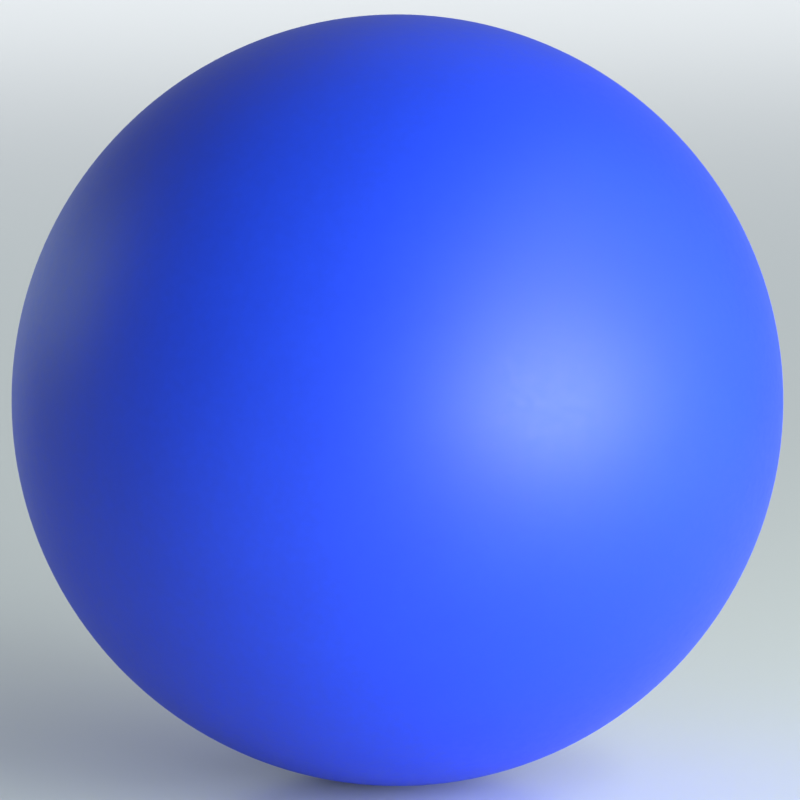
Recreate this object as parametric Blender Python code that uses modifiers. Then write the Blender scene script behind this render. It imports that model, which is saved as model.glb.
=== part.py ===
"""Croquet ball: two moulded nylon cups closed round a cork-and-rubber core.

The mould axis runs front to back along Y, so the seam stands in the XZ plane.
The origin is the centre of the ball. Metres, +Z up.
"""

import math

import bpy

# Driving dimensions, in metres
BALL_DIAMETER = 0.0921          # regulation size, 3 5/8 in
SHELL_WALL = 0.0060             # wall of each moulded cup
FIT_GAP = 0.0003                # clearance between pieces that touch, filled by cement
SEAM_BREAK = 0.0003             # chamfer on both outer edges of the seam
TONGUE_THICKNESS = 0.0018       # tongue on the front cup's rim, across the wall
TONGUE_LENGTH = 0.0022          # from the seam plane to the tongue's tip
LEAD_IN = 0.0003                # chamfers on the tongue's tip and the groove's mouth
WELD_RING_HEIGHT = 0.0010       # weld ring, between the tongue's tip and the groove's floor
WELD_RING_CHAMFER = 0.0002
CORE_BELT_WIDTH = 0.0030        # belt left round the core by the halves of its mould
CORE_BELT_RISE = 0.0006
GATE_RECESS_DIAMETER = 0.0080   # recess inside each cup's pole, where the plastic was fed in
GATE_RECESS_DEPTH = 0.0008
GATE_STUB_DIAMETER = 0.0024     # snapped-off gate, left below the cup's inner surface
GATE_STUB_HEIGHT = 0.0004

# Fineness of the turned surfaces
SEGMENTS = 64                   # round the mould axis
QUARTER_STEPS = 16              # along a quarter circle of the profile
MERGE_DISTANCE = 0.00001
SHARP_ANGLE = math.radians(30)

# Worked out from the driving dimensions
BALL_RADIUS = BALL_DIAMETER / 2
CUP_INNER_RADIUS = BALL_RADIUS - SHELL_WALL
CORE_RADIUS = CUP_INNER_RADIUS - FIT_GAP
RIM_HEIGHT = FIT_GAP / 2
BELT_RADIUS = CORE_RADIUS + CORE_BELT_RISE
BELT_HALF_WIDTH = CORE_BELT_WIDTH / 2
REBATE_RADIUS = BELT_RADIUS + FIT_GAP
REBATE_HEIGHT = BELT_HALF_WIDTH + FIT_GAP
TONGUE_MIDDLE = (BALL_RADIUS + REBATE_RADIUS) / 2
TONGUE_OUTER = TONGUE_MIDDLE + TONGUE_THICKNESS / 2
TONGUE_INNER = TONGUE_MIDDLE - TONGUE_THICKNESS / 2
GROOVE_OUTER = TONGUE_OUTER + FIT_GAP
GROOVE_INNER = TONGUE_INNER - FIT_GAP
WELD_RING_TOP = TONGUE_LENGTH + FIT_GAP
WELD_RING_FOOT = WELD_RING_TOP + WELD_RING_HEIGHT
GROOVE_DEPTH = WELD_RING_FOOT + FIT_GAP
GATE_RECESS_RADIUS = GATE_RECESS_DIAMETER / 2
GATE_STUB_RADIUS = GATE_STUB_DIAMETER / 2

BALL_BLUE = (0.0065, 0.050, 0.740, 1.0)
WELD_GREY = (0.090, 0.092, 0.100, 1.0)
CORK_BROWN = (0.150, 0.088, 0.048, 1.0)


def clear_scene():
    for old in list(bpy.data.objects):
        bpy.data.objects.remove(old, do_unlink=True)


def new_material(name, colour, roughness, metallic):
    material = bpy.data.materials.new(name)
    material.use_nodes = True
    shader = material.node_tree.nodes["Principled BSDF"]
    shader.inputs["Base Color"].default_value = colour
    shader.inputs["Roughness"].default_value = roughness
    shader.inputs["Metallic"].default_value = metallic
    material.diffuse_color = colour
    return material


def arc(radius, from_height, to_height):
    """Points (distance from the axis, height) along a circle centred on the ball."""
    start = math.asin(from_height / radius)
    sweep = math.asin(to_height / radius) - start
    steps = max(1, round(abs(sweep) / (math.pi / 2) * QUARTER_STEPS))
    angles = [start + sweep * step / steps for step in range(steps + 1)]
    return [(radius * math.cos(angle), radius * math.sin(angle)) for angle in angles]


def inner_surface():
    """Inside of a cup, from the belt rebate at the rim up to the gate on the axis."""
    recess_mouth = math.sqrt(CUP_INNER_RADIUS ** 2 - GATE_RECESS_RADIUS ** 2)
    recess_floor = recess_mouth + GATE_RECESS_DEPTH
    stub_end = recess_floor - GATE_STUB_HEIGHT
    rebate = [(REBATE_RADIUS, RIM_HEIGHT), (REBATE_RADIUS, REBATE_HEIGHT)]
    gate = [
        (GATE_RECESS_RADIUS, recess_floor),
        (GATE_STUB_RADIUS, recess_floor),
        (GATE_STUB_RADIUS, stub_end),
        (0.0, stub_end),
    ]
    return rebate + arc(CUP_INNER_RADIUS, REBATE_HEIGHT, recess_mouth) + gate


def outer_surface():
    """Outside of a cup, from its pole on the axis down to the chamfered edge of the seam."""
    edge = (BALL_RADIUS - SEAM_BREAK, RIM_HEIGHT)
    return arc(BALL_RADIUS, BALL_RADIUS, RIM_HEIGHT + SEAM_BREAK) + [edge]


def turn(name, profile, closed, material, collection, axis):
    """Turn a profile of (distance from the axis, height) points into a solid."""
    count = len(profile)
    edges = [(i, (i + 1) % count) for i in range(count if closed else count - 1)]
    outline = bpy.data.meshes.new(name)
    outline.from_pydata([(across, 0.0, height) for across, height in profile], edges, [])
    solid = bpy.data.objects.new(name, outline)
    collection.objects.link(solid)
    screw = solid.modifiers.new("turning", "SCREW")
    screw.axis = "Z"
    screw.angle = 2 * math.pi
    screw.steps = SEGMENTS
    screw.render_steps = SEGMENTS
    screw.use_merge_vertices = True
    screw.merge_threshold = MERGE_DISTANCE
    turned = bpy.data.meshes.new_from_object(
        solid.evaluated_get(bpy.context.evaluated_depsgraph_get())
    )
    solid.modifiers.clear()
    solid.data = turned
    bpy.data.meshes.remove(outline)
    turned.name = name
    turned.shade_smooth()
    turned.set_sharp_from_angle(angle=SHARP_ANGLE)
    turned.materials.append(material)
    solid.parent = axis
    return solid


def make_front_shell(collection, axis):
    """Cup with the tongue on its rim."""
    tongue = [
        (TONGUE_OUTER, RIM_HEIGHT),
        (TONGUE_OUTER, LEAD_IN - TONGUE_LENGTH),
        (TONGUE_OUTER - LEAD_IN, -TONGUE_LENGTH),
        (TONGUE_INNER + LEAD_IN, -TONGUE_LENGTH),
        (TONGUE_INNER, LEAD_IN - TONGUE_LENGTH),
        (TONGUE_INNER, RIM_HEIGHT),
    ]
    nylon = new_material("front_shell_blue_nylon", BALL_BLUE, 0.42, 0.0)
    profile = outer_surface() + tongue + inner_surface()
    return turn("front_shell", profile, False, nylon, collection, axis)


def make_rear_shell(collection, axis):
    """Cup with the groove in its rim, drawn the same way up and then turned over."""
    groove = [
        (GROOVE_OUTER + LEAD_IN, RIM_HEIGHT),
        (GROOVE_OUTER, RIM_HEIGHT + LEAD_IN),
        (GROOVE_OUTER, GROOVE_DEPTH),
        (GROOVE_INNER, GROOVE_DEPTH),
        (GROOVE_INNER, RIM_HEIGHT + LEAD_IN),
        (GROOVE_INNER - LEAD_IN, RIM_HEIGHT),
    ]
    nylon = new_material("rear_shell_blue_nylon", BALL_BLUE, 0.42, 0.0)
    upright = outer_surface() + groove + inner_surface()
    profile = [(across, -height) for across, height in reversed(upright)]
    return turn("rear_shell", profile, False, nylon, collection, axis)


def make_weld_ring(collection, axis):
    """Ring melted between the tongue's tip and the groove's floor."""
    chamfer = WELD_RING_CHAMFER
    profile = [
        (TONGUE_OUTER - chamfer, -WELD_RING_TOP),
        (TONGUE_OUTER, -WELD_RING_TOP - chamfer),
        (TONGUE_OUTER, -WELD_RING_FOOT + chamfer),
        (TONGUE_OUTER - chamfer, -WELD_RING_FOOT),
        (TONGUE_INNER + chamfer, -WELD_RING_FOOT),
        (TONGUE_INNER, -WELD_RING_FOOT + chamfer),
        (TONGUE_INNER, -WELD_RING_TOP - chamfer),
        (TONGUE_INNER + chamfer, -WELD_RING_TOP),
    ]
    filler = new_material("weld_ring_filled_nylon", WELD_GREY, 0.55, 0.0)
    return turn("weld_ring", profile, True, filler, collection, axis)


def make_core(collection, axis):
    """Pressed core with its mould belt, which keys into the rebate between the cups."""
    upper = arc(CORE_RADIUS, CORE_RADIUS, BELT_HALF_WIDTH) + [(BELT_RADIUS, BELT_HALF_WIDTH)]
    lower = [(across, -height) for across, height in reversed(upper)]
    cork = new_material("core_cork_rubber", CORK_BROWN, 0.9, 0.0)
    return turn("core", upper + lower, False, cork, collection, axis)


def build_ball():
    clear_scene()
    ball = bpy.data.collections.new("croquet_ball")
    bpy.context.scene.collection.children.link(ball)
    mould_axis = bpy.data.objects.new("mould_axis", None)
    mould_axis.rotation_euler = (math.pi / 2, 0.0, 0.0)
    ball.objects.link(mould_axis)
    make_front_shell(ball, mould_axis)
    make_rear_shell(ball, mould_axis)
    make_weld_ring(ball, mould_axis)
    make_core(ball, mould_axis)


build_ball()
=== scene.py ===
"""A croquet ball on a plain pale floor under soft studio light.

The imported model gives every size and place. Each piece of the ball is modelled again here
with a fine surface and the material that the real piece has. Metres, +Z up.
"""

import math

import bmesh
import bpy
from mathutils import Matrix, Vector, noise


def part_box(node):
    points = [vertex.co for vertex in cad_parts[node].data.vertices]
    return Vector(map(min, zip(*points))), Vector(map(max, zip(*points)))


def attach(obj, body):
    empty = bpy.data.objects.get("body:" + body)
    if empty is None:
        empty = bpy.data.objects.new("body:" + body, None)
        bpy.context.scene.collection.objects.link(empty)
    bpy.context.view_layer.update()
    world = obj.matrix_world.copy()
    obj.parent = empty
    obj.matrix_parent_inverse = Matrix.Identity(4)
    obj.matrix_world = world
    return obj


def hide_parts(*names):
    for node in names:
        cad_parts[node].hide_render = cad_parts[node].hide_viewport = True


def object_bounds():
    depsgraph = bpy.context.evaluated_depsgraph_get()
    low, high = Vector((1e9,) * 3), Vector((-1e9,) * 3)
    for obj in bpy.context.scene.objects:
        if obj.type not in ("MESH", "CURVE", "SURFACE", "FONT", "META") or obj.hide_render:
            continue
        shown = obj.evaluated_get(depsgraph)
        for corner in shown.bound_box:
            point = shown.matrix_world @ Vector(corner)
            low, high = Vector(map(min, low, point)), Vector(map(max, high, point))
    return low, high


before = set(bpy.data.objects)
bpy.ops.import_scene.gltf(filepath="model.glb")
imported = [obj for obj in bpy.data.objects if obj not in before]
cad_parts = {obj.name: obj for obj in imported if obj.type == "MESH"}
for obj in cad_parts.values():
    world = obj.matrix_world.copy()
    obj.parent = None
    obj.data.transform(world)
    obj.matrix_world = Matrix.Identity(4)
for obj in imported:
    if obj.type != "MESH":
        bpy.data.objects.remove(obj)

cad_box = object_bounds()

MM = 0.001

# Sizes read from the frame
CORE_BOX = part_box("core")
RING_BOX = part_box("weld_ring")
BALL_RADIUS = cad_box[1].y
CORE_RADIUS = CORE_BOX[1].y
BELT_RADIUS = CORE_BOX[1].x
TONGUE_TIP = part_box("front_shell")[1].y
TONGUE_OUTER = RING_BOX[1].x
RING_TOP = RING_BOX[0].y
RING_FOOT = RING_BOX[1].y

# Sizes that the frame's boxes don't hold, as the frame's pieces have them
FIT_GAP = 0.3 * MM
TONGUE_THICKNESS = 1.8 * MM
BELT_HALF_WIDTH = 1.5 * MM
GATE_RECESS_RADIUS = 4.0 * MM
GATE_RECESS_DEPTH = 0.8 * MM
GATE_STUB_RADIUS = 1.2 * MM
GATE_STUB_HEIGHT = 0.4 * MM

# Fine shape
SEAM_HALF_GAP = 0.01 * MM
SEAM_ROUNDING = 0.14 * MM
CORNER_ROUNDING = 0.2 * MM
BELT_ROUNDING = 0.35 * MM
TURNING_STEPS = 192
QUARTER_ARC_STEPS = 60
ROUNDING_STEPS = 3
MERGE_DISTANCE = 0.001 * MM
SAME_PLACE = 5 * MERGE_DISTANCE     # how near a ring of edges lies to the corner it is chosen by
SHARP_ANGLE = math.radians(40)
GRANULE_SIZE = 2.4 * MM
GRANULE_RELIEF = 0.14 * MM
VALLEY_STEEPNESS = 4.0              # of the valleys between granules, over the granule's size

CUP_INNER_RADIUS = CORE_RADIUS + FIT_GAP
REBATE_RADIUS = BELT_RADIUS + FIT_GAP
REBATE_HEIGHT = BELT_HALF_WIDTH + FIT_GAP
TONGUE_INNER = TONGUE_OUTER - TONGUE_THICKNESS
GROOVE_DEPTH = RING_FOOT + FIT_GAP


# ---- Turning ------------------------------------------------------------------------------------
# A piece is turned about the mould axis, Y. Its outline is drawn in the XY plane, where X is the
# distance from the axis, and each stretch grows from the last vertex of the one before.

def start_outline(bm, across, along):
    """First vertex of an outline."""
    return bm.verts.new((across, along, 0.0))


def straight_to(bm, vertex, across, along):
    """Extrude the outline's last vertex to a new place."""
    grown = bmesh.ops.extrude_vert_indiv(bm, verts=[vertex])["verts"][0]
    bmesh.ops.translate(bm, verts=[grown], vec=Vector((across, along, 0.0)) - grown.co)
    return grown


def arc_to(bm, vertex, along):
    """Swing the outline's last vertex round the ball's centre to this place along the axis."""
    radius = vertex.co.length
    here = math.atan2(vertex.co.y, vertex.co.x)
    angle = math.asin(max(-1.0, min(1.0, along / radius))) - here
    steps = max(2, round(abs(angle) / (math.pi / 2) * QUARTER_ARC_STEPS))
    swung = bmesh.ops.spin(
        bm, geom=[vertex], cent=(0, 0, 0), axis=(0, 0, 1), angle=angle, steps=steps, use_merge=False
    )
    return next(item for item in swung["geom_last"] if isinstance(item, bmesh.types.BMVert))


def turn(bm):
    """Spin the outline about the mould axis, close it and point its faces outwards."""
    bmesh.ops.spin(
        bm,
        geom=bm.verts[:] + bm.edges[:],
        cent=(0, 0, 0),
        axis=(0, 1, 0),
        angle=2 * math.pi,
        steps=TURNING_STEPS,
        use_merge=True,
    )
    bmesh.ops.remove_doubles(bm, verts=bm.verts[:], dist=MERGE_DISTANCE)
    bmesh.ops.recalc_face_normals(bm, faces=bm.faces[:])


def round_edges(bm, width, chosen):
    """Round the rings of edges whose distance from the axis and place along it are chosen."""
    rings = []
    for edge in bm.edges:
        ends = [(math.hypot(v.co.x, v.co.z), v.co.y) for v in edge.verts]
        same_ring = math.dist(*ends) < MERGE_DISTANCE
        if same_ring and any(math.dist(ends[0], place) < SAME_PLACE for place in chosen):
            rings.append(edge)
    bmesh.ops.bevel(
        bm,
        geom=rings,
        offset=width,
        offset_type="OFFSET",
        segments=ROUNDING_STEPS,
        profile=0.5,
        affect="EDGES",
        material=-1,
        clamp_overlap=True,
    )


def finish_piece(bm, name, material, stands_for):
    """Make the object, smooth its round faces and give it to the frame."""
    mesh = bpy.data.meshes.new(name)
    bm.to_mesh(mesh)
    bm.free()
    mesh.shade_smooth()
    mesh.set_sharp_from_angle(angle=SHARP_ANGLE)
    mesh.materials.append(material)
    piece = bpy.data.objects.new(name, mesh)
    bpy.context.scene.collection.objects.link(piece)
    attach(piece, "root")
    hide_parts(stands_for)


# ---- Pieces -------------------------------------------------------------------------------------

def cup_inside(bm, vertex, side):
    """Inside of a cup, from the rim's inner edge to the gate at the pole. side is -1 in front."""
    vertex = straight_to(bm, vertex, REBATE_RADIUS, side * SEAM_HALF_GAP)
    vertex = straight_to(bm, vertex, REBATE_RADIUS, side * REBATE_HEIGHT)
    foot = math.sqrt(CUP_INNER_RADIUS ** 2 - REBATE_HEIGHT ** 2)
    vertex = straight_to(bm, vertex, foot, side * REBATE_HEIGHT)
    mouth = math.sqrt(CUP_INNER_RADIUS ** 2 - GATE_RECESS_RADIUS ** 2)
    floor = mouth + GATE_RECESS_DEPTH
    vertex = arc_to(bm, vertex, side * mouth)
    vertex = straight_to(bm, vertex, GATE_RECESS_RADIUS, side * floor)
    vertex = straight_to(bm, vertex, GATE_STUB_RADIUS, side * floor)
    vertex = straight_to(bm, vertex, GATE_STUB_RADIUS, side * (floor - GATE_STUB_HEIGHT))
    straight_to(bm, vertex, 0.0, side * (floor - GATE_STUB_HEIGHT))
    return mouth, floor


def make_cup(name, side, rim, rim_corners, material):
    """A moulded cup: its outside, the rim's outline and its inside, turned in one."""
    bm = bmesh.new()
    vertex = start_outline(bm, 0.0, side * BALL_RADIUS)
    vertex = arc_to(bm, vertex, side * SEAM_HALF_GAP)
    lip = (vertex.co.x, vertex.co.y)
    for across, along in rim:
        vertex = straight_to(bm, vertex, across, along)
    mouth, floor = cup_inside(bm, vertex, side)
    turn(bm)
    round_edges(bm, SEAM_ROUNDING, [lip])
    gate_corners = [(GATE_RECESS_RADIUS, side * mouth), (GATE_RECESS_RADIUS, side * floor)]
    round_edges(bm, CORNER_ROUNDING, rim_corners + gate_corners)
    finish_piece(bm, name, material, name)


def make_front_shell(material):
    """The cup towards the viewer, with the tongue on its rim."""
    land = -SEAM_HALF_GAP
    rim = [
        (TONGUE_OUTER, land),
        (TONGUE_OUTER, TONGUE_TIP),
        (TONGUE_INNER, TONGUE_TIP),
        (TONGUE_INNER, land),
    ]
    make_cup("front_shell", -1, rim, rim[1:3], material)


def make_rear_shell(material):
    """The cup behind, with the groove in its rim."""
    land = SEAM_HALF_GAP
    outer, inner = TONGUE_OUTER + FIT_GAP, TONGUE_INNER - FIT_GAP
    rim = [(outer, land), (outer, GROOVE_DEPTH), (inner, GROOVE_DEPTH), (inner, land)]
    make_cup("rear_shell", 1, rim, [rim[0], rim[3]], material)


def make_weld_ring(material):
    """The welding strand, squeezed square in the groove with its corners still round."""
    bm = bmesh.new()
    corners = [
        (TONGUE_OUTER, RING_TOP),
        (TONGUE_OUTER, RING_FOOT),
        (TONGUE_INNER, RING_FOOT),
        (TONGUE_INNER, RING_TOP),
    ]
    vertex = start_outline(bm, *corners[0])
    for across, along in corners[1:] + corners[:1]:
        vertex = straight_to(bm, vertex, across, along)
    bmesh.ops.remove_doubles(bm, verts=bm.verts[:], dist=MERGE_DISTANCE)
    turn(bm)
    round_edges(bm, CORNER_ROUNDING, corners)
    finish_piece(bm, "weld_ring", material, "weld_ring")


def make_core(material):
    """The pressed core: a belt where its mould closed, and granules that stand apart a little."""
    bm = bmesh.new()
    foot = math.sqrt(CORE_RADIUS ** 2 - BELT_HALF_WIDTH ** 2)
    vertex = start_outline(bm, 0.0, -CORE_RADIUS)
    vertex = arc_to(bm, vertex, -BELT_HALF_WIDTH)
    vertex = straight_to(bm, vertex, BELT_RADIUS, -BELT_HALF_WIDTH)
    vertex = straight_to(bm, vertex, BELT_RADIUS, BELT_HALF_WIDTH)
    vertex = straight_to(bm, vertex, foot, BELT_HALF_WIDTH)
    arc_to(bm, vertex, CORE_RADIUS)
    turn(bm)
    belt = [(BELT_RADIUS, -BELT_HALF_WIDTH), (BELT_RADIUS, BELT_HALF_WIDTH)]
    round_edges(bm, BELT_ROUNDING, belt)
    for vert in bm.verts:
        nearest, second = noise.voronoi(vert.co / GRANULE_SIZE)[0][:2]
        valley = max(0.0, 1.0 - VALLEY_STEEPNESS * (second - nearest))
        vert.co *= 1.0 - valley * GRANULE_RELIEF / vert.co.length
    finish_piece(bm, "core", material, "core")


# ---- Materials ----------------------------------------------------------------------------------

def colour(hex_code):
    """Linear colour, with alpha, of an sRGB hex value."""
    channels = [int(hex_code[i:i + 2], 16) / 255 for i in (1, 3, 5)]
    return [c / 12.92 if c <= 0.04045 else ((c + 0.055) / 1.055) ** 2.4 for c in channels] + [1.0]


def add(tree, kind, inputs, **settings):
    """Add a node. An input is a value to set or another node's socket to link."""
    node = tree.nodes.new("ShaderNode" + kind)
    for name, value in settings.items():
        setattr(node, name, value)
    for socket, value in inputs.items():
        if isinstance(value, bpy.types.NodeSocket):
            tree.links.new(value, node.inputs[socket])
        else:
            node.inputs[socket].default_value = value
    return node


def start_material(name):
    """A new material with its Principled shader and the object's own coordinates."""
    material = bpy.data.materials.new(name)
    material.use_nodes = True
    tree = material.node_tree
    shader = tree.nodes["Principled BSDF"]
    place = add(tree, "TexCoord", {}).outputs["Object"]
    return material, tree, shader, place


NYLON_IOR = 1.53
NYLON_ROUGHNESS = (0.485, 0.525)
PEEL_SIZE = 1.0 * MM
PEEL_HEIGHT = 0.0045 * MM
CLOUD_SIZE = 14 * MM
SPECK_SPACING = 11 * MM
SPECK_RADIUS = 0.16 * MM        # of the largest
SPECKLESS_SHARE = 0.55          # of the cells that a speck could lie in
NOISE_LOW, NOISE_HIGH = 0.3, 0.7    # between which nearly all of a noise lies


def moulded_nylon():
    """Nylon, dyed through, moulded against a satin steel tool: a soft-edged highlight over deep
    colour, a faint orange peel, slight clouding of the dye and a few pale specks of dust."""
    material, tree, shader, place = start_material("moulded_nylon_satin_blue")

    cloud = add(tree, "TexNoise", {"Vector": place, "Scale": 1 / CLOUD_SIZE, "Detail": 3.0})
    peel = add(tree, "TexNoise", {"Vector": place, "Scale": 1 / PEEL_SIZE, "Detail": 2.0})
    both = add(tree, "Math", {0: cloud.outputs["Fac"], 1: peel.outputs["Fac"]})
    tone = add(tree, "MapRange", {"Value": both.outputs["Value"], "From Min": 2 * NOISE_LOW,
                               "From Max": 2 * NOISE_HIGH})
    dye = add(tree, "Mix", {0: tone.outputs["Result"], 6: colour("#133DDA"), 7: colour("#1441E5")},
              data_type="RGBA")

    cells = add(tree, "TexVoronoi", {"Vector": place, "Scale": 1 / SPECK_SPACING})
    lone = add(tree, "SeparateColor", {"Color": cells.outputs["Color"]})
    size = add(tree, "MapRange", {
        "Value": lone.outputs["Red"], "From Min": SPECKLESS_SHARE, "From Max": 1.0,
        "To Min": 0.0, "To Max": SPECK_RADIUS / SPECK_SPACING,
    })
    speck = add(tree, "Math", {0: cells.outputs["Distance"], 1: size.outputs["Result"]},
                operation="LESS_THAN")
    face = add(tree, "Mix", {0: speck.outputs["Value"], 6: dye.outputs[2], 7: colour("#7C97F4")},
               data_type="RGBA")

    sheen = add(tree, "MapRange", {
        "Value": peel.outputs["Fac"], "From Min": NOISE_LOW, "From Max": NOISE_HIGH,
        "To Min": NYLON_ROUGHNESS[0], "To Max": NYLON_ROUGHNESS[1],
    })
    bump = add(tree, "Bump", {
        "Height": peel.outputs["Fac"], "Strength": 1.0, "Distance": PEEL_HEIGHT,
    })

    tree.links.new(face.outputs[2], shader.inputs["Base Color"])
    tree.links.new(sheen.outputs["Result"], shader.inputs["Roughness"])
    tree.links.new(bump.outputs["Normal"], shader.inputs["Normal"])
    shader.inputs["IOR"].default_value = NYLON_IOR
    return material


GRIT_SIZE = 0.25 * MM
GRIT_HEIGHT = 0.02 * MM
WELD_ROUGHNESS = 0.55


def filled_weld_nylon():
    """Nylon filled with iron powder, melted in place: dull dark grey with a fine bright grit."""
    material, tree, shader, place = start_material("weld_nylon_iron_filled")
    grit = add(tree, "TexNoise", {"Vector": place, "Scale": 1 / GRIT_SIZE, "Detail": 4.0})
    shade = add(tree, "Mix", {0: grit.outputs["Fac"], 6: colour("#2B2C30"), 7: colour("#6F7075")},
                data_type="RGBA")
    bump = add(tree, "Bump", {
        "Height": grit.outputs["Fac"], "Strength": 1.0, "Distance": GRIT_HEIGHT,
    })
    tree.links.new(shade.outputs[2], shader.inputs["Base Color"])
    tree.links.new(bump.outputs["Normal"], shader.inputs["Normal"])
    shader.inputs["IOR"].default_value = NYLON_IOR
    shader.inputs["Roughness"].default_value = WELD_ROUGHNESS
    return material


CORK_GRAIN_SIZE = 0.4 * MM
CORK_GRAIN_HEIGHT = 0.05 * MM
CORK_ROUGHNESS = 0.92
RUBBER_LINE = (0.03, 0.12)      # where rubber turns to cork, from a granule's edge, over its size


def pressed_cork():
    """Cork granules pressed in black rubber: tan to brown chips, dark lines, no gloss."""
    material, tree, shader, place = start_material("pressed_cork_and_rubber")
    chips = add(tree, "TexVoronoi", {"Vector": place, "Scale": 1 / GRANULE_SIZE})
    tone = add(tree, "SeparateColor", {"Color": chips.outputs["Color"]})
    chip = add(tree, "Mix", {0: tone.outputs["Red"], 6: colour("#6B4428"), 7: colour("#B98A5A")},
               data_type="RGBA")
    grain = add(tree, "TexNoise", {"Vector": place, "Scale": 1 / CORK_GRAIN_SIZE, "Detail": 5.0})
    cork = add(tree, "Mix", {0: grain.outputs["Fac"], 6: colour("#3A2416"), 7: chip.outputs[2]},
               data_type="RGBA")
    gaps = add(tree, "TexVoronoi", {"Vector": place, "Scale": 1 / GRANULE_SIZE},
               feature="DISTANCE_TO_EDGE")
    rubber = add(tree, "MapRange", {
        "Value": gaps.outputs["Distance"], "From Min": RUBBER_LINE[0], "From Max": RUBBER_LINE[1],
    })
    face = add(tree, "Mix", {0: rubber.outputs["Result"], 6: colour("#17130F"), 7: cork.outputs[2]},
               data_type="RGBA")
    bump = add(tree, "Bump", {
        "Height": grain.outputs["Fac"], "Strength": 1.0, "Distance": CORK_GRAIN_HEIGHT,
    })
    tree.links.new(face.outputs[2], shader.inputs["Base Color"])
    tree.links.new(bump.outputs["Normal"], shader.inputs["Normal"])
    shader.inputs["Roughness"].default_value = CORK_ROUGHNESS
    return material


LAMINATE_ROUGHNESS = 0.22


def satin_laminate():
    """White laminated board: no pattern, and a satin gloss that mirrors low light softly."""
    material, _, shader, _ = start_material("laminate_satin_white")
    shader.inputs["Base Color"].default_value = colour("#F2F2F2")
    shader.inputs["Roughness"].default_value = LAMINATE_ROUGHNESS
    return material


# ---- Stage --------------------------------------------------------------------------------------

FLOOR_RADIUS = 8.0
FLOOR_SIDES = 96


def make_floor():
    """A round level floor that touches the ball's lowest point."""
    bm = bmesh.new()
    bmesh.ops.create_circle(
        bm, cap_ends=True, radius=FLOOR_RADIUS, segments=FLOOR_SIDES,
        matrix=Matrix.Translation((0, 0, cad_box[0].z)),
    )
    mesh = bpy.data.meshes.new("floor")
    bm.to_mesh(mesh)
    bm.free()
    mesh.materials.append(satin_laminate())
    floor = bpy.data.objects.new("floor", mesh)
    bpy.context.scene.collection.objects.link(floor)


def toward(azimuth, elevation):
    """Unit vector from the ball. Azimuth 0 is towards the viewer and 90 to the viewer's right."""
    a, e = math.radians(azimuth), math.radians(elevation)
    return Vector((math.sin(a) * math.cos(e), -math.cos(a) * math.cos(e), math.sin(e)))


# Tints of the lights: nearly white, a little green as daylight through a plain window is
WHITE = "#FFFFFF"
KEY_TINT = "#F1FFF4"
SIDE_TINT = "#E4FFEC"

# Soft boxes that face the ball: name, azimuth, elevation, width, height, watts, tint.
# The key ones and right_box make one broad light low on the right, the left ones a faint one
# behind.
BOX_DISTANCE = 0.8
SOFT_BOXES = [
    ("key_box", 44, 14, 0.50, 0.42, 3.75, KEY_TINT),
    ("key_low", 42, 3, 0.50, 0.15, 4.5, KEY_TINT),
    ("key_high", 48, 38, 0.60, 0.30, 1.35, KEY_TINT),
    ("key_left", 21, 5, 0.26, 0.18, 0.9, KEY_TINT),
    ("key_right", 68, 6, 0.40, 0.20, 0.9, KEY_TINT),
    ("right_box", 92, 22, 0.50, 0.50, 0.4, KEY_TINT),
    ("left_box", -118, 14, 0.26, 0.30, 0.6, SIDE_TINT),
    ("left_back_box", -145, 5, 0.22, 0.20, 0.14, SIDE_TINT),
]

# Boxes that hang level over the floor: name, place, width, length, watts, spread in degrees, tint.
# One lights the floor behind the ball, the other the floor at the right, which shines back up.
FLOOR_BOXES = [
    ("far_floor_box", (0.0, 3.3, 1.25), 2.4, 4.4, 33.0, 100, WHITE),
    ("near_floor_box", (0.50, -0.22, 0.32), 0.6, 0.5, 2.1, 90, KEY_TINT),
]


def add_lamp(name, width, height, power, tint):
    """A rectangular soft light, in metres and watts, at the origin and shining down."""
    light = bpy.data.lights.new(name, "AREA")
    light.shape = "RECTANGLE"
    light.size = width
    light.size_y = height
    light.energy = power
    light.color = colour(tint)[:3]
    lamp = bpy.data.objects.new(name, light)
    bpy.context.scene.collection.objects.link(lamp)
    return lamp


def light_ball():
    """Stand each soft box in its direction and turn it to the ball."""
    for name, azimuth, elevation, width, height, power, tint in SOFT_BOXES:
        lamp = add_lamp(name, width, height, power, tint)
        direction = toward(azimuth, elevation)
        lamp.location = direction * BOX_DISTANCE
        lamp.rotation_mode = "QUATERNION"
        lamp.rotation_quaternion = direction.to_track_quat("Z", "Y")


def light_floor():
    """Hang each floor box in place, with a grid that keeps most of its light off the ball."""
    for name, place, width, length, power, spread, tint in FLOOR_BOXES:
        lamp = add_lamp(name, width, length, power, tint)
        lamp.location = place
        lamp.data.spread = math.radians(spread)


# Glow of the room in each direction: azimuth, elevation, narrowness, radiance
ROOM_GLOW = [
    (0, 90, 0, 0.185),
    (180, 10, 4, 0.30),
    (90, 20, 4, 0.74),
]
ROOM_TINT = "#ECF7FF"           # a little blue, as a room lit by the sky is
HORIZON_GLOW = 0.28
HORIZON_SINES = (0.05, 0.16)    # of the angles from the horizon at which its band fades out


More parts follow.
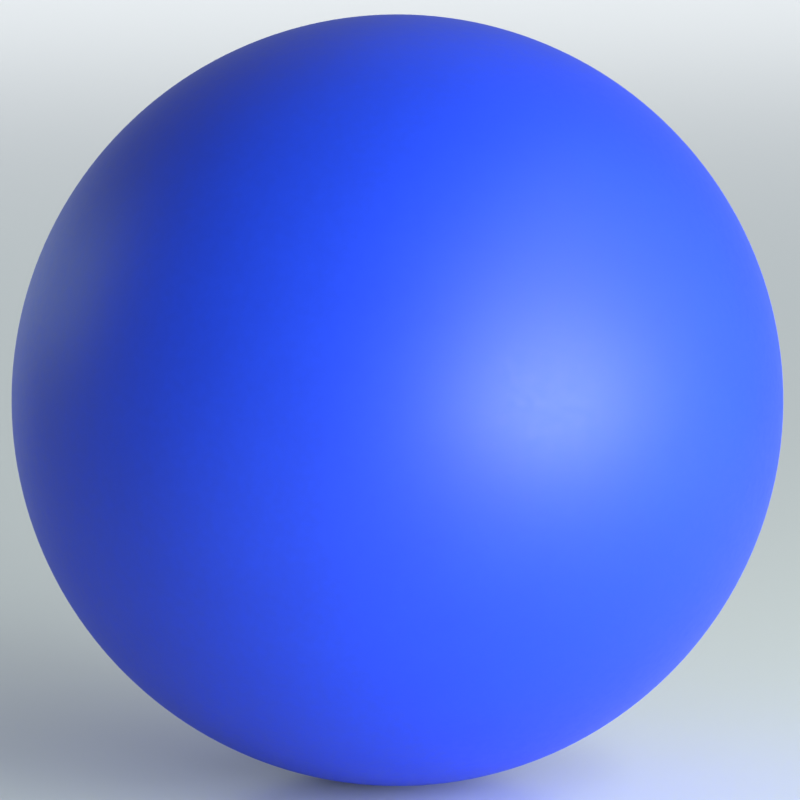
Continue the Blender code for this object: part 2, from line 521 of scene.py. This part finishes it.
def make_world():
    """Room that glows softly from some sides, with a pale band all round at the horizon."""
    world = bpy.data.worlds.new("studio")
    world.use_nodes = True
    tree = world.node_tree
    away = add(tree, "TexCoord", {}).outputs["Generated"]
    height = add(tree, "SeparateXYZ", {"Vector": away})
    level = add(tree, "Math", {0: height.outputs["Z"]}, operation="ABSOLUTE")
    glow = add(tree, "MapRange", {
        "Value": level.outputs["Value"], "From Min": HORIZON_SINES[0], "From Max": HORIZON_SINES[1],
        "To Min": HORIZON_GLOW, "To Max": 0.0,
    }, interpolation_type="SMOOTHSTEP").outputs["Result"]
    for azimuth, elevation, narrowness, radiance in ROOM_GLOW:
        facing = add(tree, "VectorMath", {0: away, 1: toward(azimuth, elevation)},
                     operation="DOT_PRODUCT")
        ahead = add(tree, "Math", {0: facing.outputs["Value"], 1: 0.0}, operation="MAXIMUM")
        lobe = add(tree, "Math", {0: ahead.outputs["Value"], 1: narrowness}, operation="POWER")
        glow = add(tree, "Math", {0: lobe.outputs["Value"], 1: radiance, 2: glow},
                   operation="MULTIPLY_ADD").outputs["Value"]
    shade = tree.nodes["Background"]
    shade.inputs["Color"].default_value = colour(ROOM_TINT)
    tree.links.new(glow, shade.inputs["Strength"])
    bpy.context.scene.world = world


LENS_MM = 200.0
SENSOR_MM = 36.0
NEAREST_SEEN = 0.01
CAMERA_ELEVATION = 8.0
BALL_SHARE = 0.96475                # the ball's width over the picture's
BALL_SHIFT = (-0.00325, -0.00025)   # of the ball's centre, right and up, over the picture's width


def make_camera():
    """A long lens that looks a little down, as far off as gives the ball its share of the width."""
    half_angle = math.atan(BALL_SHARE / 2 * SENSOR_MM / LENS_MM)
    distance = BALL_RADIUS / math.sin(half_angle)
    data = bpy.data.cameras.new("camera")
    data.lens = LENS_MM
    data.sensor_width = SENSOR_MM
    data.clip_start = NEAREST_SEEN
    camera = bpy.data.objects.new("camera", data)
    back = toward(0, CAMERA_ELEVATION)
    turn_back = back.to_track_quat("Z", "Y")
    picture_width = 2 * BALL_RADIUS / BALL_SHARE
    aside = turn_back @ Vector((-BALL_SHIFT[0], -BALL_SHIFT[1], 0)) * picture_width
    camera.location = back * distance + aside
    camera.rotation_mode = "QUATERNION"
    camera.rotation_quaternion = turn_back
    bpy.context.scene.collection.objects.link(camera)
    bpy.context.scene.camera = camera


nylon = moulded_nylon()
make_front_shell(nylon)
make_rear_shell(nylon)
make_weld_ring(filled_weld_nylon())
make_core(pressed_cork())

make_floor()
make_world()
light_ball()
light_floor()
make_camera()
bpy.context.scene.view_settings.view_transform = "Standard"
